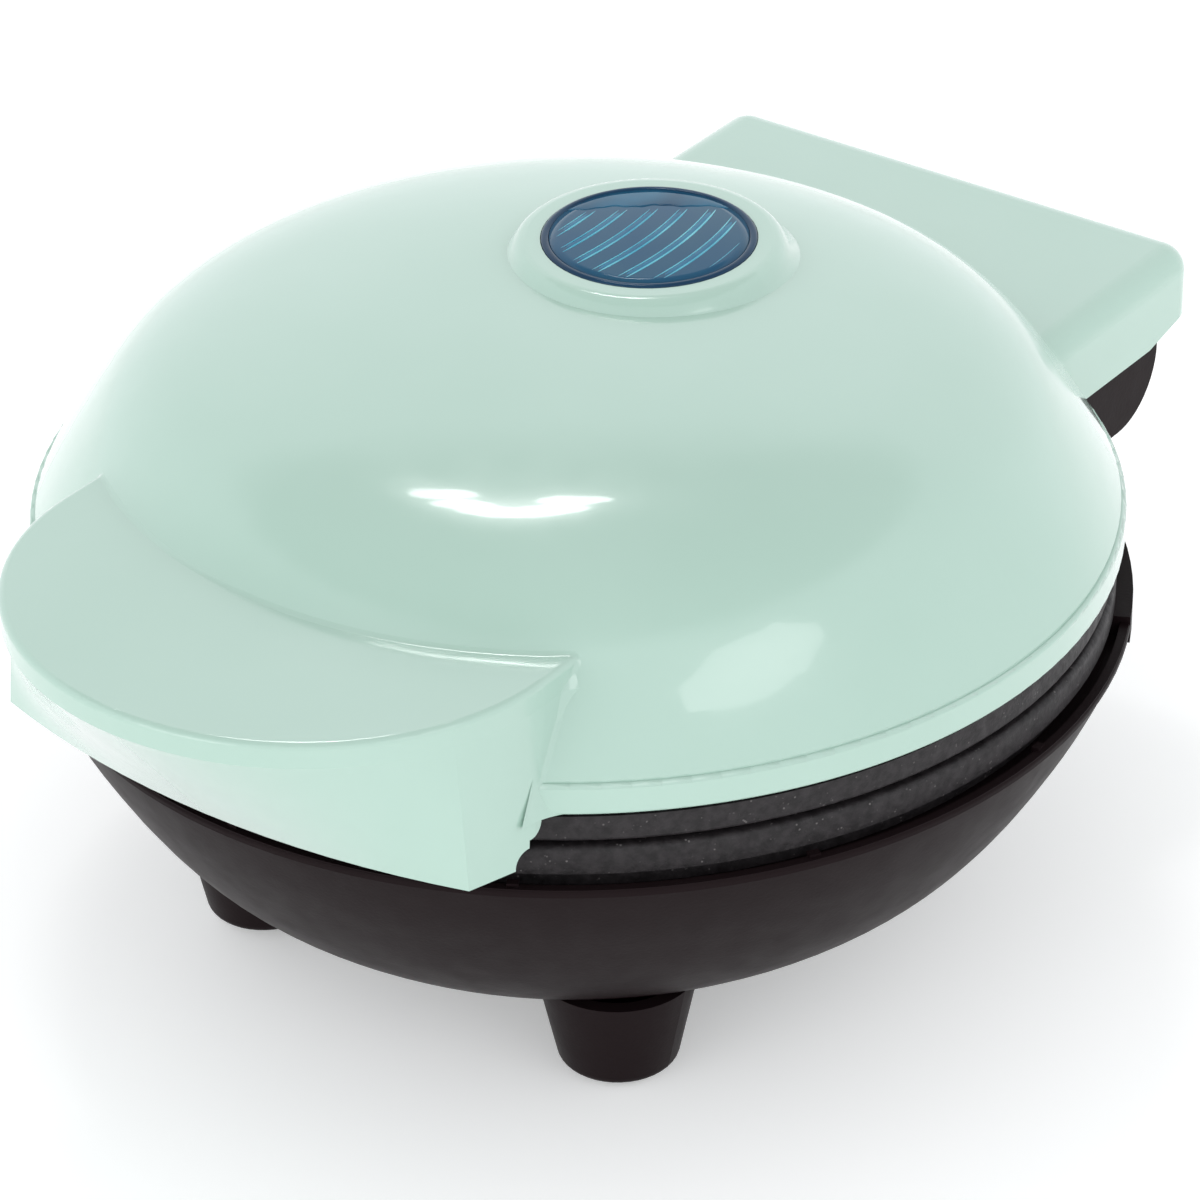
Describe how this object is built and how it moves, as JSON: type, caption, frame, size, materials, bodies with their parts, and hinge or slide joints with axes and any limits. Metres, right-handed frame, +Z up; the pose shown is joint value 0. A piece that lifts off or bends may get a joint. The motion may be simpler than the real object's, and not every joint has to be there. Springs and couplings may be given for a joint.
{
  "type": "donut maker",
  "caption": "Round electric clamshell cooker with ring-shaped cavities, a domed lid with a front handle and signal lens, and a footed bowl base with a rear hinge.",
  "frame": {"origin": "centre of the footprint on the table, on the round bowl's axis", "axes": "+Z up, -Y towards the handle at the front, +Y towards the hinge and cord outlet at the rear, +X to the right seen from the front"},
  "size_m": [0.161, 0.2034, 0.1],
  "materials": {
    "base_plastic": "satin moulded near-black plastic",
    "pad_rubber": "soft matt black",
    "screw_steel": "zinc-plated steel",
    "nonstick_plate": "cast aluminium with a dark speckled non-stick coat",
    "element_steel": "dull sheathed element",
    "shield_aluminium": "bright rolled sheet",
    "thermostat_steel": "stamped steel",
    "fuse_sleeve": "varnished glass sleeve",
    "terminal_ceramic": "unglazed white ceramic",
    "terminal_brass": "turned brass",
    "lead_sleeve": "silicone lead insulation",
    "gland_rubber": "semi-matt black",
    "pin_steel": "ground steel pin",
    "lead_braid": "braided glass sleeve",
    "lid_plastic": "glossy pastel green moulded plastic",
    "lens_blue": "clear blue moulded lens",
    "lamp_cup_plastic": "dark grey moulded plastic",
    "lamp_glass": "small glass lamp",
    "resistor_ceramic": "lacquered resistor"
  },
  "bodies": {
    "base": {"base_shell": "base_plastic", "foot_pads": "pad_rubber", "base_screws": "screw_steel", "lower_plate": "nonstick_plate", "lower_heater": "element_steel", "lower_heat_shield": "shield_aluminium", "lower_shield_screws": "screw_steel", "thermostat": "thermostat_steel", "thermal_fuse": "fuse_sleeve", "fuse_clip": "screw_steel", "terminal_block": "terminal_ceramic", "terminal_screws": "terminal_brass", "lower_leads": "lead_sleeve", "cord_gland": "gland_rubber", "cord_clamp": "base_plastic", "cord_clamp_screws": "screw_steel", "hinge_pins": "pin_steel", "hinge_leads_base": "lead_braid"},
    "lid": {"lid_shell": "lid_plastic", "upper_plate": "nonstick_plate", "upper_heater": "element_steel", "upper_heat_shield": "shield_aluminium", "upper_shield_screws": "screw_steel", "upper_terminal_block": "terminal_ceramic", "upper_leads": "lead_sleeve", "hinge_leads_lid": "lead_braid", "hinge_bushes": "terminal_brass", "indicator_lens": "lens_blue", "lamp_housing": "lamp_cup_plastic", "neon_lamp": "lamp_glass", "lamp_resistor": "resistor_ceramic"}
  },
  "joints": [
    {"name": "lid_hinge", "type": "hinge", "parent": "base", "child": "lid", "pos_m": [0, 0.088, 0.057], "axis": [-1, 0, 0], "range_deg": [0, 95]}
  ]
}
